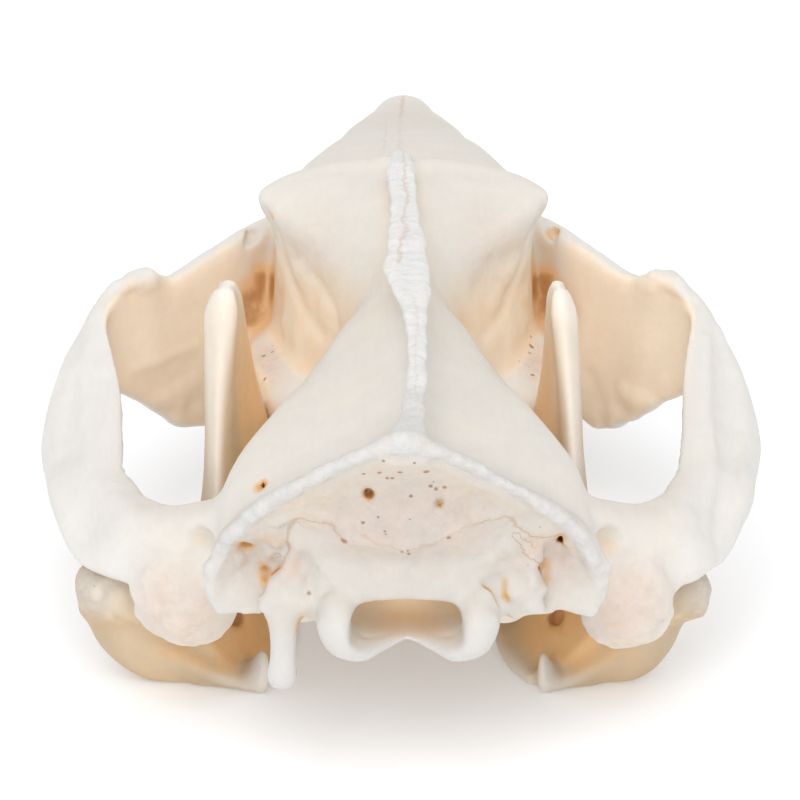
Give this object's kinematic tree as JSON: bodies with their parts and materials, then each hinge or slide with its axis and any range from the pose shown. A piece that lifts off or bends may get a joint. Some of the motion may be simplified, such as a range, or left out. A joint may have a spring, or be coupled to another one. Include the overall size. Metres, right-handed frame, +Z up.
{
  "type": "opossum skull",
  "caption": "Long-faced mammal skull with a tall midline crest, wide open cheek arches, both lower jaws in place and small pointed teeth, resting on its jaws",
  "frame": {"origin": "bottom centre of the bounding box of the whole skull with its lower jaws, on the surface it rests on", "axes": "Z up from the table, +Y forward from the back of the head to the nose, +X to the skull's right"},
  "size_m": [0.0732, 0.1261, 0.043],
  "materials": {
    "bone_white": "dry cleaned bone, ivory white, dull with a faint sheen on worn edges",
    "bone_tan": "dry bone stained pale orange-brown, dull",
    "tooth_enamel": "tooth enamel, cream, glossy"
  },
  "bodies": {
    "root": {"cranium": "bone_white", "lower_jaw_left": "bone_tan", "lower_jaw_right": "bone_tan", "upper_incisor_1_left": "tooth_enamel", "upper_incisor_2_left": "tooth_enamel", "upper_incisor_3_left": "tooth_enamel", "upper_incisor_4_left": "tooth_enamel", "upper_incisor_5_left": "tooth_enamel", "upper_canine_left": "tooth_enamel", "upper_premolar_1_left": "tooth_enamel", "upper_premolar_2_left": "tooth_enamel", "upper_premolar_3_left": "tooth_enamel", "upper_molar_1_left": "tooth_enamel", "upper_molar_2_left": "tooth_enamel", "upper_molar_3_left": "tooth_enamel", "upper_molar_4_left": "tooth_enamel", "lower_incisor_1_left": "tooth_enamel", "lower_incisor_2_left": "tooth_enamel", "lower_incisor_3_left": "tooth_enamel", "lower_incisor_4_left": "tooth_enamel", "lower_canine_left": "tooth_enamel", "lower_premolar_1_left": "tooth_enamel", "lower_premolar_2_left": "tooth_enamel", "lower_premolar_3_left": "tooth_enamel", "lower_molar_1_left": "tooth_enamel", "lower_molar_2_left": "tooth_enamel", "lower_molar_3_left": "tooth_enamel", "lower_molar_4_left": "tooth_enamel", "upper_incisor_1_right": "tooth_enamel", "upper_incisor_2_right": "tooth_enamel", "upper_incisor_3_right": "tooth_enamel", "upper_incisor_4_right": "tooth_enamel", "upper_incisor_5_right": "tooth_enamel", "upper_canine_right": "tooth_enamel", "upper_premolar_1_right": "tooth_enamel", "upper_premolar_2_right": "tooth_enamel", "upper_premolar_3_right": "tooth_enamel", "upper_molar_1_right": "tooth_enamel", "upper_molar_2_right": "tooth_enamel", "upper_molar_3_right": "tooth_enamel", "upper_molar_4_right": "tooth_enamel", "lower_incisor_1_right": "tooth_enamel", "lower_incisor_2_right": "tooth_enamel", "lower_incisor_3_right": "tooth_enamel", "lower_incisor_4_right": "tooth_enamel", "lower_canine_right": "tooth_enamel", "lower_premolar_1_right": "tooth_enamel", "lower_premolar_2_right": "tooth_enamel", "lower_premolar_3_right": "tooth_enamel", "lower_molar_1_right": "tooth_enamel", "lower_molar_2_right": "tooth_enamel", "lower_molar_3_right": "tooth_enamel", "lower_molar_4_right": "tooth_enamel"}
  },
  "joints": []
}
